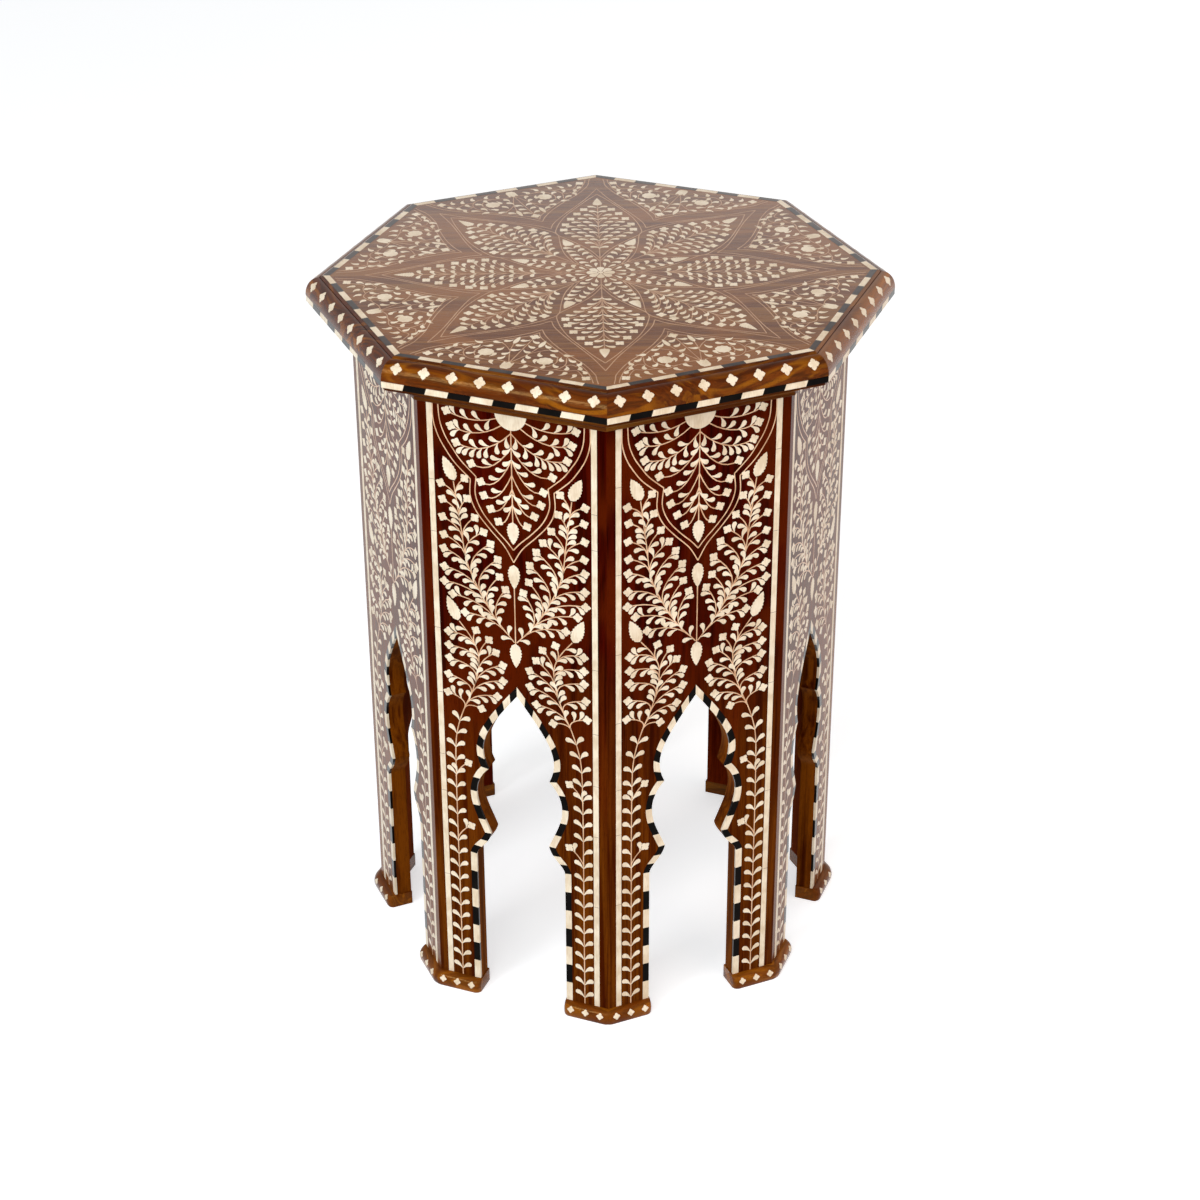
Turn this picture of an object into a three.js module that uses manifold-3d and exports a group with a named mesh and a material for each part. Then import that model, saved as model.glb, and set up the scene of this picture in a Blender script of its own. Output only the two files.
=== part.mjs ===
// An octagonal side table of inlaid rosewood: eight mitred side panels, each
// cut to a cusped arch, stand on eight V-shaped corner feet and carry a
// moulded octagonal top. Millimetres, +Z up. The origin is on the floor at
// the middle of the table, and the flats of the octagon face +-X and +-Y.
import * as THREE from "three";
import { mergeVertices } from "three/addons/utils/BufferGeometryUtils.js";
import Module from "manifold-3d";

const wasm = await Module();
wasm.setup();

// Overall sizes
const sides = 8;
const tableHeight = 610;
const bodyAcrossFlats = 381.6;
const glueGap = 0.3;
const overrun = 5;

// Top board and the mouldings that frame it
const boardOverhang = 18.9;
const boardThickness = 22;
const borderWidth = 5;
const inlayDepth = 2;
const mouldingWidth = 14.3;
const arrisWidth = 3.2;
const arrisDrop = 1.6;
const arrisTurnShare = 0.67;
const chequerStripHeight = 5;
const chequerStripDepth = 1.8;

// Cove moulding under the top
const coveHeight = 21.5;
const coveProjection = 30;
const coveLip = 3;
const coveHollowShare = 0.18;

// Side panels and their arches
const panelThickness = 16;
const archApexHeight = 312;
const archSpringHeight = 146;
const legOpening = 81.2;
const archBandWidth = 5.6;

// Corner feet
const footHeight = 13;
const footProjection = 7.5;
const footTopProjection = 1.2;
const footToeProjection = 6;
const footOverhang = 0.8;
const footBulgeShare = 0.42;

// Glue blocks behind the corners
const blockLeg = 26;
const blockHeight = 70;
const blockEdge = 5;

// Straight steps that each rounded face is drawn in
const springSteps = 5;
const lobeSteps = 10;
const headSteps = 10;
const mouldingSteps = 9;
const arrisSteps = 3;
const hollowSteps = 7;
const footSteps = 6;
const toeSteps = 3;

// Wood and inlay finishes
const rosewood = { color: 0x5a1a0c, roughness: 0.32, metalness: 0 };
const amberwood = { color: 0x8a4a12, roughness: 0.3, metalness: 0 };
const plainwood = { color: 0x6b4420, roughness: 0.6, metalness: 0 };
const boneAndEbony = { color: 0xcfc4a4, roughness: 0.35, metalness: 0 };

// The octagon's angles: a side spans two half turns of miter
const miter = Math.PI / sides;
const sideTurn = (2 * Math.PI) / sides;

const bodyApothem = bodyAcrossFlats / 2;
const boardApothem = bodyApothem + boardOverhang;
const mouldingApothem = boardApothem + mouldingWidth;
const boardUnderside = tableHeight - boardThickness;
const stripTop = boardUnderside + chequerStripHeight;
const panelTop = boardUnderside - glueGap;
const panelFoot = footHeight + glueGap;
const panelInnerApothem = bodyApothem - panelThickness;

// Manifold solids to and from three.js geometries

function solidOf(geometry) {
  const bare = geometry.clone();
  bare.deleteAttribute("normal");
  bare.deleteAttribute("uv");
  const merged = mergeVertices(bare);
  const mesh = new wasm.Mesh({
    numProp: 3,
    vertProperties: new Float32Array(merged.attributes.position.array),
    triVerts: new Uint32Array(merged.index.array),
  });
  return new wasm.Manifold(mesh);
}

function geometryOf(solid) {
  const mesh = solid.getMesh();
  const geometry = new THREE.BufferGeometry();
  const places = new THREE.BufferAttribute(new Float32Array(mesh.vertProperties), 3);
  geometry.setAttribute("position", places);
  geometry.setIndex(new THREE.BufferAttribute(new Uint32Array(mesh.triVerts), 1));
  return geometry;
}

// Shapes that the pieces are made from

// An octagonal prism of a given half width across flats, between two heights.
function octagonPrism(apothem, low, high) {
  const radius = apothem / Math.cos(miter);
  const prism = new THREE.CylinderGeometry(radius, radius, high - low, sides, 1);
  prism.rotateY(miter);
  prism.rotateX(Math.PI / 2);
  prism.translate(0, 0, (low + high) / 2);
  return prism;
}

// A wedge of the octagon that holds all that belongs to one side, thinned by
// half a glue gap at each mitre. It is drawn for the side that faces -Y.
function sideWedge(reach, low, high) {
  const inset = glueGap / 2 / Math.sin(miter);
  const half = reach * Math.tan(miter);
  const outline = new THREE.Shape();
  outline.moveTo(0, -inset);
  outline.lineTo(-half, -reach - inset);
  outline.lineTo(half, -reach - inset);
  outline.closePath();
  const wedge = new THREE.ExtrudeGeometry(outline, { depth: high - low, bevelEnabled: false });
  wedge.translate(0, 0, low);
  return wedge;
}

// A moulding for the side that faces -Y: a section of [apothem, height]
// points run along the side and mitred at both ends.
function miteredRun(section, reach) {
  const half = reach * Math.tan(miter) + overrun;
  const outline = new THREE.Shape(section.map(([out, up]) => new THREE.Vector2(out, up)));
  const run = new THREE.ExtrudeGeometry(outline, { depth: 2 * half, bevelEnabled: false });
  run.translate(0, 0, -half);
  run.rotateX(Math.PI / 2);
  run.rotateZ(-Math.PI / 2);
  const heights = section.map(([, up]) => up);
  const low = Math.min(...heights) - overrun;
  const high = Math.max(...heights) + overrun;
  const wedge = sideWedge(reach + overrun, low, high);
  return solidOf(run).intersect(solidOf(wedge));
}

// Points on an ellipse between two turns, both ends included.
function quarterEllipse(centreOut, centreUp, halfWide, halfHigh, from, to, steps) {
  return Array.from({ length: steps + 1 }, (_, step) => {
    const turn = from + ((to - from) * step) / steps;
    return [centreOut + halfWide * Math.cos(turn), centreUp + halfHigh * Math.sin(turn)];
  });
}

// The arch outline

// Each half of the arch is a springing curve, a middle lobe and a head, drawn
// as Bezier curves. A pair is [share of the half opening, share of the rise].
const springShares = [[1, 0], [0.97, 0.045], [0.72, 0.07], [0.65, 0.145]];
const lobeShares = [[0.65, 0.145], [0.81, 0.253], [1.23, 0.4], [0.677, 0.536]];
const headShares = [[0.677, 0.536], [0.94, 0.675], [0.74, 0.765], [0, 1]];

const archRise = archApexHeight - archSpringHeight;
const halfOpening = legOpening / 2;

function archCurve(shares, steps) {
  const [a, b, c, d] = shares.map(
    ([wide, up]) => new THREE.Vector2(halfOpening * wide, archSpringHeight + archRise * up),
  );
  return new THREE.CubicBezierCurve(a, b, c, d).getPoints(steps);
}

// A polyline moved sideways into the wood, which lies on its right.
function movedAside(points, distance) {
  return points.map((point, index) => {
    const before = points[Math.max(index - 1, 0)];
    const after = points[Math.min(index + 1, points.length - 1)];
    const along = after.clone().sub(before).normalize();
    return point.clone().add(new THREE.Vector2(along.y, -along.x).multiplyScalar(distance));
  });
}

// Where two polylines cross, the first is cut short and the second starts.
function joinedAtCrossing(first, second) {
  for (let i = first.length - 2; i >= 0; i -= 1) {
    for (let j = 0; j < second.length - 1; j += 1) {
      const p = first[i];
      const r = first[i + 1].clone().sub(p);
      const q = second[j];
      const s = second[j + 1].clone().sub(q);
      const span = r.cross(s);
      const gap = q.clone().sub(p);
      const t = gap.cross(s) / span;
      const u = gap.cross(r) / span;
      if (t >= 0 && t <= 1 && u >= 0 && u <= 1) {
        const meet = p.clone().addScaledVector(r, t);
        return [...first.slice(0, i + 1), meet, ...second.slice(j + 1)];
      }
    }
  }
  return [...first, ...second.slice(1)];
}

// Half of the arch's outline from a given height on the leg up to the apex,
// moved into the wood by a distance. The apex runs on to the middle line.
function halfArch(distance, foot) {
  const curves = [
    [new THREE.Vector2(halfOpening, foot), new THREE.Vector2(halfOpening, archSpringHeight)],
    archCurve(springShares, springSteps),
    archCurve(lobeShares, lobeSteps),
    archCurve(headShares, headSteps),
  ].map((curve) => movedAside(curve, distance));
  const line = curves.reduce(joinedAtCrossing);
  const last = line[line.length - 1];
  const slope = last.clone().sub(line[line.length - 2]);
  if (last.x > 0) {
    line.push(new THREE.Vector2(0, last.y - (slope.y * last.x) / slope.x));
  } else {
    last.x = 0;
  }
  return line;
}

// The whole outline as one polyline from the left leg over to the right.
function wholeArch(distance, foot) {
  const right = halfArch(distance, foot);
  const left = right.slice(0, -1).map((point) => new THREE.Vector2(-point.x, point.y));
  return [...left, ...right.reverse()];
}

// A flat shape of width and height, made solid from one depth to another
// behind the front of the side that faces -Y.
function boardOf(outline, front, back) {
  const board = new THREE.ExtrudeGeometry(outline, { depth: back - front, bevelEnabled: false });
  board.rotateX(Math.PI / 2);
  board.translate(0, -bodyApothem + back, 0);
  return board;
}

// The pieces, each drawn where it stands on the side that faces -Y

// The board's edge is rebated all round for the border and stays open there.
function topBoard() {
  const board = solidOf(octagonPrism(boardApothem, boardUnderside, tableHeight));
  const rebateFloor = tableHeight - inlayDepth - glueGap;
  const field = boardApothem - borderWidth - glueGap;
  const outer = solidOf(octagonPrism(boardApothem + overrun, rebateFloor, tableHeight + overrun));
  const inner = solidOf(octagonPrism(field, rebateFloor - overrun, tableHeight + 2 * overrun));
  return geometryOf(board.subtract(outer.subtract(inner)));
}

function topChequerBorder() {
  const low = tableHeight - inlayDepth;
  const outer = solidOf(octagonPrism(boardApothem, low, tableHeight));
  const field = boardApothem - borderWidth;
  const inner = solidOf(octagonPrism(field, low - overrun, tableHeight + overrun));
  return geometryOf(outer.subtract(inner));
}

// An arris that starts flush with the board and rounds over into a quirk, a
// quarter-round face from there, and a rebate along its foot for the chequer.
function edgeMoulding() {
  const inner = boardApothem + glueGap;
  const faceUp = tableHeight - arrisDrop;
  const faceOut = boardApothem + arrisWidth;
  const arrisTurn = (Math.PI / 2) * arrisTurnShare;
  const arrisHalfWide = (faceOut - inner) / (1 - Math.cos(arrisTurn));
  const rebateOut = mouldingApothem - chequerStripDepth - glueGap;
  const rebateUp = stripTop + glueGap;
  const section = [
    [inner, boardUnderside],
    [rebateOut, boardUnderside],
    [rebateOut, rebateUp],
    ...quarterEllipse(
      faceOut,
      rebateUp,
      mouldingApothem - faceOut,
      faceUp - rebateUp,
      0,
      Math.PI / 2,
      mouldingSteps,
    ),
    ...quarterEllipse(
      faceOut - arrisHalfWide,
      faceUp,
      arrisHalfWide,
      arrisDrop / Math.sin(arrisTurn),
      0,
      arrisTurn,
      arrisSteps,
    ).slice(1),
  ];
  return geometryOf(miteredRun(section, mouldingApothem));
}

function mouldingChequer() {
  const outer = mouldingApothem - glueGap;
  const inner = mouldingApothem - chequerStripDepth;
  const section = [
    [inner, boardUnderside],
    [outer, boardUnderside],
    [outer, stripTop],
    [inner, stripTop],
  ];
  return geometryOf(miteredRun(section, mouldingApothem));
}

// A hollow that runs in and down from under the moulding to a lip on the panel.
function coveMoulding() {
  const inner = bodyApothem + glueGap;
  const top = boardUnderside - glueGap;
  const bottom = boardUnderside - coveHeight;
  const rim = new THREE.Vector2(inner + coveProjection, top - coveLip);
  const foot = new THREE.Vector2(inner + coveLip, bottom + coveLip);
  const chord = foot.clone().sub(rim);
  const sink = new THREE.Vector2(chord.y, -chord.x).multiplyScalar(coveHollowShare);
  const middle = rim.clone().add(foot).multiplyScalar(0.5).add(sink);
  const hollow = new THREE.QuadraticBezierCurve(rim, middle, foot).getPoints(hollowSteps);
  const section = [
    [inner, top],
    [inner, bottom],
    [inner + coveLip, bottom],
    ...hollow.reverse().map((point) => [point.x, point.y]),
    [inner + coveProjection, top],
  ];
  return geometryOf(miteredRun(section, bodyApothem + coveProjection));
}

function sidePanel() {
  const half = bodyApothem * Math.tan(miter);
  const blank = new THREE.Shape();
  blank.moveTo(-half, panelFoot);
  blank.lineTo(half, panelFoot);
  blank.lineTo(half, panelTop);
  blank.lineTo(-half, panelTop);
  blank.closePath();
  const opening = new THREE.Shape(wholeArch(0, panelFoot - overrun));
  const rebate = new THREE.Shape(wholeArch(archBandWidth + glueGap, panelFoot - overrun));
  const rebateDepth = inlayDepth + glueGap;
  const board = solidOf(boardOf(blank, 0, panelThickness));
  const mitres = solidOf(sideWedge(bodyApothem + overrun, panelFoot - overrun, panelTop + overrun));
  const through = solidOf(boardOf(opening, -overrun, panelThickness + overrun));
  const sunk = solidOf(boardOf(rebate, -overrun, rebateDepth));
  return geometryOf(board.intersect(mitres).subtract(through).subtract(sunk));
}

// The band fills its rebate, from the arch's edge into the wood.
function archChequer() {
  const outline = new THREE.Shape([
    ...wholeArch(archBandWidth, panelFoot),
    ...wholeArch(0, panelFoot).reverse(),
  ]);
  return boardOf(outline, 0, inlayDepth);
}

// The front of a foot along one side, with the floor and the leg's edge as its
// other bounds. It bulges like a half-round, draws in at the toe, and is drawn
// right back to the table's middle and out past the corner.
function footRun() {
  const bulgeUp = footHeight * footBulgeShare;
  const upper = quarterEllipse(
    bodyApothem + footTopProjection,
    bulgeUp,
    footProjection - footTopProjection,
    footHeight - bulgeUp,
    0,
    Math.PI / 2,
    footSteps,
  );
  const lower = quarterEllipse(
    bodyApothem + footToeProjection,
    bulgeUp,
    footProjection - footToeProjection,
    bulgeUp,
    -Math.PI / 2,
    0,
    toeSteps,
  );
  const section = [[0, footHeight], [0, 0], ...lower.slice(0, -1), ...upper];
  const outline = new THREE.Shape(section.map(([out, up]) => new THREE.Vector2(out, up)));
  const start = halfOpening - footOverhang;
  const reach = bodyApothem + footProjection;
  const run = new THREE.ExtrudeGeometry(outline, { depth: reach - start, bevelEnabled: false });
  run.translate(0, 0, -reach);
  run.rotateX(Math.PI / 2);
  run.rotateZ(-Math.PI / 2);
  return run;
}

// A quarter of the table's inside, bounded by the back face of one panel.
function insideCorner() {
  const size = panelInnerApothem * 2;
  const inside = new THREE.BoxGeometry(size, panelInnerApothem, footHeight + 2 * overrun);
  inside.translate(0, -panelInnerApothem / 2, footHeight / 2);
  return inside;
}

// A geometry turned into its mirror image across the corner's mitre plane.
function mirroredAcrossCorner(geometry) {
  const mirror = geometryOf(solidOf(geometry));
  mirror.scale(-1, 1, 1);
  const turned = mirror.index.array;
  for (let i = 0; i < turned.length; i += 3) {
    [turned[i], turned[i + 1]] = [turned[i + 1], turned[i]];
  }
  mirror.rotateZ(sideTurn);
  return mirror;
}

// What two runs have in common is mitred on the corner, and what lies behind
// both panels is cut away, which leaves one V-shaped block.
function cornerFoot() {
  const run = footRun();
  const inside = insideCorner();
  const block = solidOf(run).intersect(solidOf(mirroredAcrossCorner(run)));
  const hollow = solidOf(inside).intersect(solidOf(mirroredAcrossCorner(inside)));
  return geometryOf(block.subtract(hollow));
}

// A block glued into the angle of two panels and up against the top board.
function glueBlock() {
  const inner = panelInnerApothem - glueGap;
  const centre = new THREE.Vector2();
  const tip = new THREE.Vector2(inner * Math.tan(miter), -inner);
  const first = tip.clone().add(new THREE.Vector2(-blockLeg, 0));
  const second = tip.clone().add(new THREE.Vector2(blockLeg, 0).rotateAround(centre, sideTurn));
  const inwards = tip.clone().normalize().multiplyScalar(-blockEdge);
  const outline = new THREE.Shape([
    tip,
    second,
    second.clone().add(inwards),
    first.clone().add(inwards),
    first,
  ]);
  const block = new THREE.ExtrudeGeometry(outline, { depth: blockHeight, bevelEnabled: false });
  block.translate(0, 0, panelTop - blockHeight);
  return block;
}

// The assembly

const table = new THREE.Group();

function place(name, geometry, finish, turn) {
  const mesh = new THREE.Mesh(geometry, new THREE.MeshStandardMaterial(finish));
  mesh.name = name;
  mesh.rotation.z = turn;
  table.add(mesh);
}

place("top_board", topBoard(), rosewood, 0);
place("top_chequer_border", topChequerBorder(), boneAndEbony, 0);

const repeated = [
  ["edge_moulding", edgeMoulding(), amberwood],
  ["moulding_chequer", mouldingChequer(), boneAndEbony],
  ["cove_moulding", coveMoulding(), plainwood],
  ["side_panel", sidePanel(), rosewood],
  ["arch_chequer", archChequer(), boneAndEbony],
  ["corner_foot", cornerFoot(), amberwood],
  ["glue_block", glueBlock(), plainwood],
];
for (const [name, geometry, finish] of repeated) {
  for (let side = 0; side < sides; side += 1) {
    place(`${name}_${side + 1}`, geometry, finish, side * sideTurn);
  }
}

export default table;
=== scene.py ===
import math

import bpy
import numpy as np
from mathutils import Matrix


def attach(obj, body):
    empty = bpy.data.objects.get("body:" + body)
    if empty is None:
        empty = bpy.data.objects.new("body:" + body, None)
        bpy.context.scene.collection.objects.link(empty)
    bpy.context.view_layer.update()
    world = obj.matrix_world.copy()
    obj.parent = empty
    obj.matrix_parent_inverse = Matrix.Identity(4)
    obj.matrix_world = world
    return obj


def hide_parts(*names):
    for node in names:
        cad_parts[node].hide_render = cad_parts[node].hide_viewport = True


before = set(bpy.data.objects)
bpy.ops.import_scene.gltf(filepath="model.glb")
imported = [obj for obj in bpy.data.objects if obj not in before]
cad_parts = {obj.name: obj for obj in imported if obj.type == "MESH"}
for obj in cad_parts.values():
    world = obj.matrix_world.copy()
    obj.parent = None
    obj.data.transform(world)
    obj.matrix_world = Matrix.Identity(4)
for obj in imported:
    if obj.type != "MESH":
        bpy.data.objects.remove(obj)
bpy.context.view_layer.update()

# Side panels
# Eight boards of dark red hardwood, mitred along their upright edges and cut
# to a cusped arch, so that each pair of legs is made by two half panels. The
# lacquered face is deep red above and turns to orange brown on the legs.

SIDES = 8
TURN = 2 * math.pi / SIDES
SLOPE = math.tan(TURN / 2)  # sideways run of a mitre for each unit inwards
FACE = 190.8  # from the table's middle to a panel's face
HALF_FACE = FACE * SLOPE
PANEL_THICK = 16
PANEL_FOOT = 13
PANEL_TOP = 587.8
HALF_OPENING = 40.6
SPRING = 146
APEX = 312
SHARP = math.radians(28)  # edges that turn more than this stay crisp
HAZE = (0.3, 0.62, 0.6)  # lacquer: the glancing shares where it sets in and is full, its strength
LEG_FADE = (0.26, 0.50)  # height in metres over which the legs' colour goes out
CUT_DEPTH = (0.0002, 0.0008)  # metres behind the face where the cut edge's colour comes in
BACK_DEPTH = (0.0157, 0.0159)  # and the back's


def turned(points, side):
    """Points turned about the upright middle axis by a number of sides."""
    c, s = math.cos(side * TURN), math.sin(side * TURN)
    return points @ np.array([[c, s, 0], [-s, c, 0], [0, 0, 1]])


def joined(shapes):
    """Several (points, faces) shapes as one, each face's numbers moved on."""
    points, faces, count = [], [], 0
    for shape_points, shape_faces in shapes:
        points.append(shape_points)
        faces.extend(np.add(face, count).tolist() for face in shape_faces)
        count += len(shape_points)
    return np.concatenate(points), faces


def carried(rings):
    """A closed section of n points carried through m places, shape (m, n, 3),
    as quads from each ring to the next, with a flat cap at either end. Each
    ring is turned round if it would run clockwise seen along the way."""
    m, n, _ = rings.shape
    spin = np.cross(rings[0], np.roll(rings[0], -1, 0)).sum(0)
    if spin @ (rings[1] - rings[0]).mean(0) < 0:
        rings = rings[:, ::-1]
    number = np.arange(m * n).reshape(m, n)
    after = np.roll(number, -1, 1)
    walls = np.stack([number[:-1], after[:-1], after[1:], number[1:]], -1).reshape(-1, 4)
    faces = walls.tolist() + [number[0][::-1].tolist(), number[-1].tolist()]
    return rings.reshape(-1, 3), faces


def in_scene(name, data):
    """A new object in the scene."""
    made = bpy.data.objects.new(name, data)
    bpy.context.scene.collection.objects.link(made)
    return made


def make_piece(name, shape, finish, stands_for=(), grain=None):
    """A mesh in metres from a shape in millimetres. It rides on the table and
    is smooth but for sharp edges. The grain attribute holds each point's
    place in its own board, measured along, across and through."""
    points, faces = shape
    mesh = bpy.data.meshes.new(name)
    mesh.from_pydata(points / 1000, [], faces)
    mesh.shade_smooth()
    mesh.set_sharp_from_angle(angle=SHARP)
    if grain is not None:
        attribute = mesh.attributes.new("grain", "FLOAT_VECTOR", "POINT")
        attribute.data.foreach_set("vector", (grain / 1000).astype(np.float32).ravel())
    mesh.materials.append(finish)
    piece = in_scene(name, mesh)
    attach(piece, "root")
    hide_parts(*stands_for)


def make_round(name, shape, finish, node=None, grain=None, shift=(0, 0, 0)):
    """The same piece on each side, in place of that side's node. The grain
    moves on by a shift each time, so that no two boards show one figure."""
    for side in range(SIDES):
        moved = None if grain is None else grain + side * np.array(shift)
        stood = turned(shape[0], side), shape[1]
        stands_for = [f"{node}_{side + 1}"] if node else []
        make_piece(f"{name}_{side + 1}", stood, finish, stands_for, moved)


class Shade:
    """A shader socket. Arithmetic on it adds Math nodes to its material."""

    def __init__(self, tree, socket=None):
        self.tree = tree
        self.socket = socket

    def node(self, kind, settings, sockets, output=0):
        """A node of any kind: first its settings, then its sockets."""
        made = self.tree.nodes.new(kind)
        for key, value in settings.items():
            setattr(made, key, value)
        for key, value in sockets.items():
            if isinstance(value, Shade):
                self.tree.links.new(value.socket, made.inputs[key])
            else:
                made.inputs[key].default_value = value
        return Shade(self.tree, made.outputs[output])

    def maths(self, operation, first, second):
        return self.node("ShaderNodeMath", {"operation": operation}, {0: first, 1: second})

    def __add__(self, other):
        return self.maths("ADD", self, other)

    def __sub__(self, other):
        return self.maths("SUBTRACT", self, other)

    def __rsub__(self, other):
        return self.maths("SUBTRACT", other, self)

    def __mul__(self, other):
        return self.maths("MULTIPLY", self, other)

    __radd__, __rmul__ = __add__, __mul__

    def between(self, low, high):
        """This value spread from 0 at low to 1 at high, eased and clamped."""
        sockets = {0: self, 1: low, 2: high}
        return self.node("ShaderNodeMapRange", {"interpolation_type": "SMOOTHSTEP"}, sockets)

    def part(self, number):
        """One number of this vector: 0, 1 or 2."""
        return self.node("ShaderNodeSeparateXYZ", {}, {0: self}, number)

    def noise(self, scale, detail=2.0, roughness=0.5, distortion=0.0):
        """Cloudy noise from 0 to 1 read at this vector times a scale."""
        place = self.node("ShaderNodeVectorMath", {"operation": "MULTIPLY"}, {0: self, 1: scale})
        sockets = {"Detail": detail, "Roughness": roughness, "Distortion": distortion}
        return place.node("ShaderNodeTexNoise", {}, {"Vector": place, "Scale": 1.0, **sockets})

    def mixed(self, first, second):
        """Two colours mixed by this value."""
        return self.node("ShaderNodeMix", {"data_type": "RGBA"}, {0: self, 6: first, 7: second}, 2)

    def feeds(self, shader, name):
        """Links this value to a socket of a shader."""
        self.tree.links.new(self.socket, shader.inputs[name])

    def dents(self, shader, strength, distance):
        """Turns this height into a fine relief, its distance in metres."""
        sockets = {"Strength": strength, "Distance": distance, "Height": self}
        self.node("ShaderNodeBump", {}, sockets).feeds(shader, "Normal")


def colour(red, green, blue):
    """A colour written in screen numbers as the linear one that shaders use."""
    share = np.array([red, green, blue]) / 255
    return (*np.where(share > 0.04045, ((share + 0.055) / 1.055) ** 2.4, share / 12.92), 1.0)


def principled(name, constants):
    """A new material, its Principled shader with constant sockets set, and a
    Shade to build on."""
    material = bpy.data.materials.new(name)
    material.use_nodes = True
    shader = material.node_tree.nodes["Principled BSDF"]
    for socket, value in constants.items():
        shader.inputs[socket].default_value = value
    return material, shader, Shade(material.node_tree)


def lacquered(name, constants, haze):
    """A material under a clear lacquer that has been rubbed dull, and the
    lacquer's strength: none when seen square on, and a pale sheen that grows
    from one glancing share to another."""
    coat = {"Coat IOR": 1.8, "Coat Roughness": 0.22}
    material, shader, shade = principled(name, {**coat, **constants})
    glance = shade.node("ShaderNodeLayerWeight", {}, {"Blend": 0.5}, 1)
    return material, shader, shade, glance.between(*haze[:2]) * haze[2]


def wood(name, tones, specular, rough, haze=HAZE, **more):
    """Lacquered wood. Long streaks run along the grain attribute and mix the
    first two tones, wavy year rings add the third, broad clouds lay the
    fourth over them, and fine pores darken and dent the surface.
    The sway bends the streaks from side to side. A pale colour comes in with
    the attribute's third number, and the first again on the top arris and
    quirk, partly as a dark stain and partly as painted shade of the quirk. On
    panels the legs' colour comes in below the springing, and the cut colour
    and then the back's lie wherever the attribute is behind the face."""
    dark, middle, light, patch = (colour(*tone) for tone in tones)
    constants = {"Specular IOR Level": specular, **more.get("constants", {})}
    material, shader, shade, sheen = lacquered(name, constants, haze)
    grain = shade.node("ShaderNodeAttribute", {"attribute_name": "grain"}, {}, 1)
    third = grain.part(2)
    sway = more.get("sway", 0) * grain.noise((9, 4, 4), 0)
    sideways = shade.node("ShaderNodeCombineXYZ", {}, {1: sway})
    grain = shade.node("ShaderNodeVectorMath", {"operation": "ADD"}, {0: grain, 1: sideways})
    streak = grain.noise((7, 260, 260), 4, 0.6, 0.4)
    ring = grain.noise((3, 75, 60), 2, 0.5, 1.2)
    cloud = grain.noise((9, 22, 22), 2, 0.5, 0.8)
    pore = grain.noise((120, 1900, 1900), 2, 0.6).between(0.53, 0.68)
    tone = streak.between(0.34, 0.66).mixed(dark, middle)
    tone = (ring.between(0.5, 0.62) * 0.65).mixed(tone, light)
    height = shade.node("ShaderNodeTexCoord", {}, {}, 3).part(2)
    if "pale" in more:
        tone = (0.65 * third.between(0.6, 1.7)).mixed(tone, more["pale"])
        # painted shade: the first tone darkens the top arris and quirk, partly a dark stain there
        # and partly the quirk's shade
        tone = (0.4 * height.between(*more["top"])).mixed(tone, dark)
    patch_low = more.get("patch_low", 0.42)
    tone = (cloud.between(patch_low, patch_low + 0.22) * 0.8).mixed(tone, patch)
    if "legs" in more:
        low = 1 - (height + 0.25 * cloud).between(*LEG_FADE)
        figure = (0.7 * streak + 0.3 * ring).between(0.36, 0.62)
        tone = (0.85 * low).mixed(tone, figure.mixed(*more["legs"]))
        figure = (0.6 * streak + 0.4 * cloud).between(0.38, 0.62)
        behind = third.between(*CUT_DEPTH)
        tone = behind.mixed(tone, figure.mixed(*more["cut"]))
        tone = third.between(*BACK_DEPTH).mixed(tone, figure.mixed(*more["back"]))
        sheen = sheen * (1 - behind)
    filler = (*(0.35 * part for part in dark[:3]), 1)
    (pore * 0.42).mixed(tone, filler).feeds(shader, "Base Color")
    sheen.feeds(shader, "Coat Weight")
    (rough + 0.10 * streak - 0.05 + 0.06 * pore).feeds(shader, "Roughness")
    (0.6 * streak - pore).dents(shader, 0.25, 0.0002)
    return material


panel_wood = wood(
    "panel_wood",
    [(34, 0, 0), (62, 3, 0), (78, 11, 1), (82, 23, 1)],
    specular=0.0,
    rough=0.28,
    legs=(colour(62, 16, 0), colour(106, 54, 6)),
    cut=(colour(64, 17, 0), colour(124, 63, 6)),
    back=(colour(82, 13, 1), colour(122, 40, 5)),
    constants={
        "Sheen Weight": 0.25, "Sheen Roughness": 0.4, "Sheen Tint": colour(255, 176, 112),
    },
)


def curve_through(corners, count):
    """A cubic Bezier curve from four corner points, at even parameters."""
    t = np.linspace(0, 1, count)[:, None]
    weights = [(1 - t) ** 3, 3 * t * (1 - t) ** 2, 3 * t**2 * (1 - t), t**3]
    return sum(weight * np.array(corner) for weight, corner in zip(weights, corners))


def arch_parts(count=22):
    """Half of the arch as four lines from the foot up to the apex: the leg,
    the springing curve, the middle lobe and the head."""
    shares = [
        [[1, 0], [0.97, 0.045], [0.72, 0.07], [0.65, 0.145]],
        [[0.65, 0.145], [0.81, 0.253], [1.23, 0.4], [0.677, 0.536]],
        [[0.677, 0.536], [0.94, 0.675], [0.74, 0.765], [0, 1]],
    ]
    scale, start = np.array([HALF_OPENING, APEX - SPRING]), np.array([0, SPRING])
    leg = np.linspace([HALF_OPENING, PANEL_FOOT], [HALF_OPENING, SPRING], count)
    return [leg] + [curve_through(np.array(part) * scale + start, count) for part in shares]


def normals_of(line):
    """Unit normals on the right of a line, from its neighbours' direction."""
    along = np.gradient(line, axis=0)
    along /= np.linalg.norm(along, axis=1, keepdims=True)
    return np.stack([along[:, 1], -along[:, 0]], 1)


def on_panel(plan, lift):
    """Panel points (x, z) with a height off the face, stood on the side that
    faces -Y."""
    return np.stack([plan[..., 0], -FACE - lift + 0 * plan[..., 0], plan[..., 1]], -1)


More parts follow.
